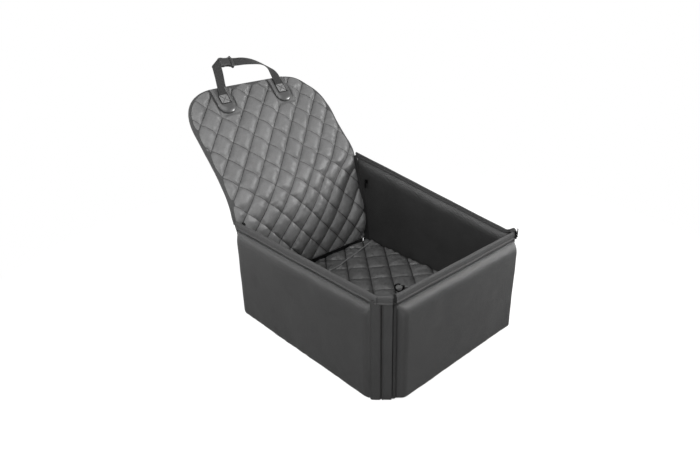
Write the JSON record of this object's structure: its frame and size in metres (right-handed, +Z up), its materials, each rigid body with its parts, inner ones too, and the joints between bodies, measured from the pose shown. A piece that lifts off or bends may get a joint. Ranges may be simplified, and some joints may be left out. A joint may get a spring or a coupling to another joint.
{
  "type": "dog car seat",
  "caption": "Padded black box seat for a dog with fold-out zipped walls, a quilted back that leans on the car seat, a buckled headrest strap and a tether hook.",
  "frame": {"origin": "under the middle of the box, on the flat face that it stands on", "axes": "+Z up, -Y the open front of the seat, +Y towards the car seat's back, +X across the seat"},
  "size_m": [0.467, 0.8152, 0.5835],
  "materials": {
    "outer_cloth": "smooth matt woven cloth, black",
    "quilt_cloth": "quilted satin cloth, dark grey",
    "lining_cloth": "plain woven lining, black",
    "webbing": "ribbed webbing and edge binding, black",
    "board": "stiffening board",
    "foam": "soft foam",
    "moulded_patch": "moulded patch, semi-gloss black",
    "buckle_plastic": "moulded black plastic",
    "zip_teeth": "zip tape and teeth, black",
    "dark_metal": "black-plated metal"
  },
  "bodies": {
    "seat_base": {"base_cover": "outer_cloth", "base_board": "board", "base_foam": "foam", "floor_quilt": "quilt_cloth", "tether_webbing": "webbing", "tether_anchor": "webbing", "hook_swivel_eye": "dark_metal"},
    "left_wall": {"left_outer_pad": "outer_cloth", "left_board": "board", "left_inner_pad": "outer_cloth", "left_rim_binding": "webbing", "left_corner_gusset": "outer_cloth", "front_left_zip": "zip_teeth", "rear_left_zip": "zip_teeth"},
    "right_wall": {"right_outer_pad": "outer_cloth", "right_board": "board", "right_inner_pad": "outer_cloth", "right_rim_binding": "webbing", "right_corner_gusset": "outer_cloth", "front_right_zip": "zip_teeth", "rear_right_zip": "zip_teeth"},
    "front_wall": {"front_outer_pad": "outer_cloth", "front_board": "board", "front_inner_pad": "outer_cloth", "front_rim_binding": "webbing"},
    "lower_back": {"lower_back_quilt": "quilt_cloth", "lower_back_core": "foam", "lower_back_lining": "lining_cloth"},
    "upper_back": {"upper_back_quilt": "quilt_cloth", "upper_back_core": "foam", "upper_back_lining": "lining_cloth", "upper_back_binding": "webbing", "left_strap_patch": "moulded_patch", "right_strap_patch": "moulded_patch", "left_strap_end": "webbing", "right_strap_end": "webbing"},
    "headrest_strap": {"strap_left_webbing": "webbing", "buckle_socket": "buckle_plastic"},
    "buckle_plug_half": {"buckle_plug": "buckle_plastic", "strap_right_webbing": "webbing"},
    "tether_hook": {"hook_body": "dark_metal", "hook_gate_pin": "dark_metal"},
    "tether_hook_gate": {"hook_gate": "dark_metal"},
    "front_left_slider": {"front_left_zip_slider": "dark_metal"},
    "front_left_tab": {"front_left_pull_tab": "dark_metal"},
    "rear_left_slider": {"rear_left_zip_slider": "dark_metal"},
    "rear_left_tab": {"rear_left_pull_tab": "dark_metal"},
    "front_right_slider": {"front_right_zip_slider": "dark_metal"},
    "front_right_tab": {"front_right_pull_tab": "dark_metal"},
    "rear_right_slider": {"rear_right_zip_slider": "dark_metal"},
    "rear_right_tab": {"rear_right_pull_tab": "dark_metal"}
  },
  "joints": [
    {"name": "left_wall_fold", "type": "hinge", "parent": "seat_base", "child": "left_wall", "pos_m": [-0.2335, 0, 0.0026], "axis": [0, -1, 0], "range_deg": [0, 90]},
    {"name": "right_wall_fold", "type": "hinge", "parent": "seat_base", "child": "right_wall", "pos_m": [0.2335, 0, 0.0026], "axis": [0, 1, 0], "range_deg": [0, 90]},
    {"name": "front_wall_fold", "type": "hinge", "parent": "seat_base", "child": "front_wall", "pos_m": [0, -0.255, 0.0026], "axis": [1, 0, 0], "range_deg": [0, 90]},
    {"name": "lower_back_fold", "type": "hinge", "parent": "seat_base", "child": "lower_back", "pos_m": [0, 0.2675, 0.0026], "axis": [-1, 0, 0], "range_deg": [0, 40]},
    {"name": "upper_back_fold", "type": "hinge", "parent": "lower_back", "child": "upper_back", "pos_m": [0, 0.2615, 0.2595], "axis": [-1, 0, 0], "range_deg": [-134, 34]},
    {"name": "headrest_strap_fold", "type": "hinge", "parent": "upper_back", "child": "headrest_strap", "pos_m": [0, 0.49993, 0.52137], "axis": [1, 0, 0], "range_deg": [-60, 100]},
    {"name": "buckle_release", "type": "slide", "parent": "headrest_strap", "child": "buckle_plug_half", "axis": [0.9938, -0.0774, -0.0802], "range_m": [0, 0.018]},
    {"name": "tether_hook_turn", "type": "hinge", "parent": "seat_base", "child": "tether_hook", "pos_m": [0.05, -0.029, 0.071], "axis": [-0.5, 0.866, 0], "continuous": true},
    {"name": "tether_hook_gate_open", "type": "hinge", "parent": "tether_hook", "child": "tether_hook_gate", "pos_m": [0.056, -0.03939, 0.0762], "axis": [-0.866, -0.5, 0], "range_deg": [0, 28], "stiffness_Nm_per_rad": 0.004, "springref_deg": -17.19},
    {"name": "front_left_zip_slide", "type": "slide", "parent": "left_wall", "child": "front_left_slider", "axis": [0, 0, -1], "range_m": [0, 0.225]},
    {"name": "front_left_tab_flip", "type": "hinge", "parent": "front_left_slider", "child": "front_left_tab", "pos_m": [-0.20287, -0.25203, 0.238], "axis": [0.7071, -0.7071, 0], "range_deg": [0, 165]},
    {"name": "rear_left_zip_slide", "type": "slide", "parent": "left_wall", "child": "rear_left_slider", "axis": [0, 0, -1], "range_m": [0, 0.155]},
    {"name": "rear_left_tab_flip", "type": "hinge", "parent": "rear_left_slider", "child": "rear_left_tab", "pos_m": [-0.2042, 0.25, 0.238], "axis": [0, 1, 0], "range_deg": [-115, 0]},
    {"name": "front_right_zip_slide", "type": "slide", "parent": "right_wall", "child": "front_right_slider", "axis": [0, 0, -1], "range_m": [0, 0.225]},
    {"name": "front_right_tab_flip", "type": "hinge", "parent": "front_right_slider", "child": "front_right_tab", "pos_m": [0.20287, -0.25203, 0.238], "axis": [0.7071, 0.7071, 0], "range_deg": [0, 165]},
    {"name": "rear_right_zip_slide", "type": "slide", "parent": "right_wall", "child": "rear_right_slider", "axis": [0, 0, -1], "range_m": [0, 0.155]},
    {"name": "rear_right_tab_flip", "type": "hinge", "parent": "rear_right_slider", "child": "rear_right_tab", "pos_m": [0.2042, 0.25, 0.238], "axis": [0, -1, 0], "range_deg": [-115, 0]}
  ]
}
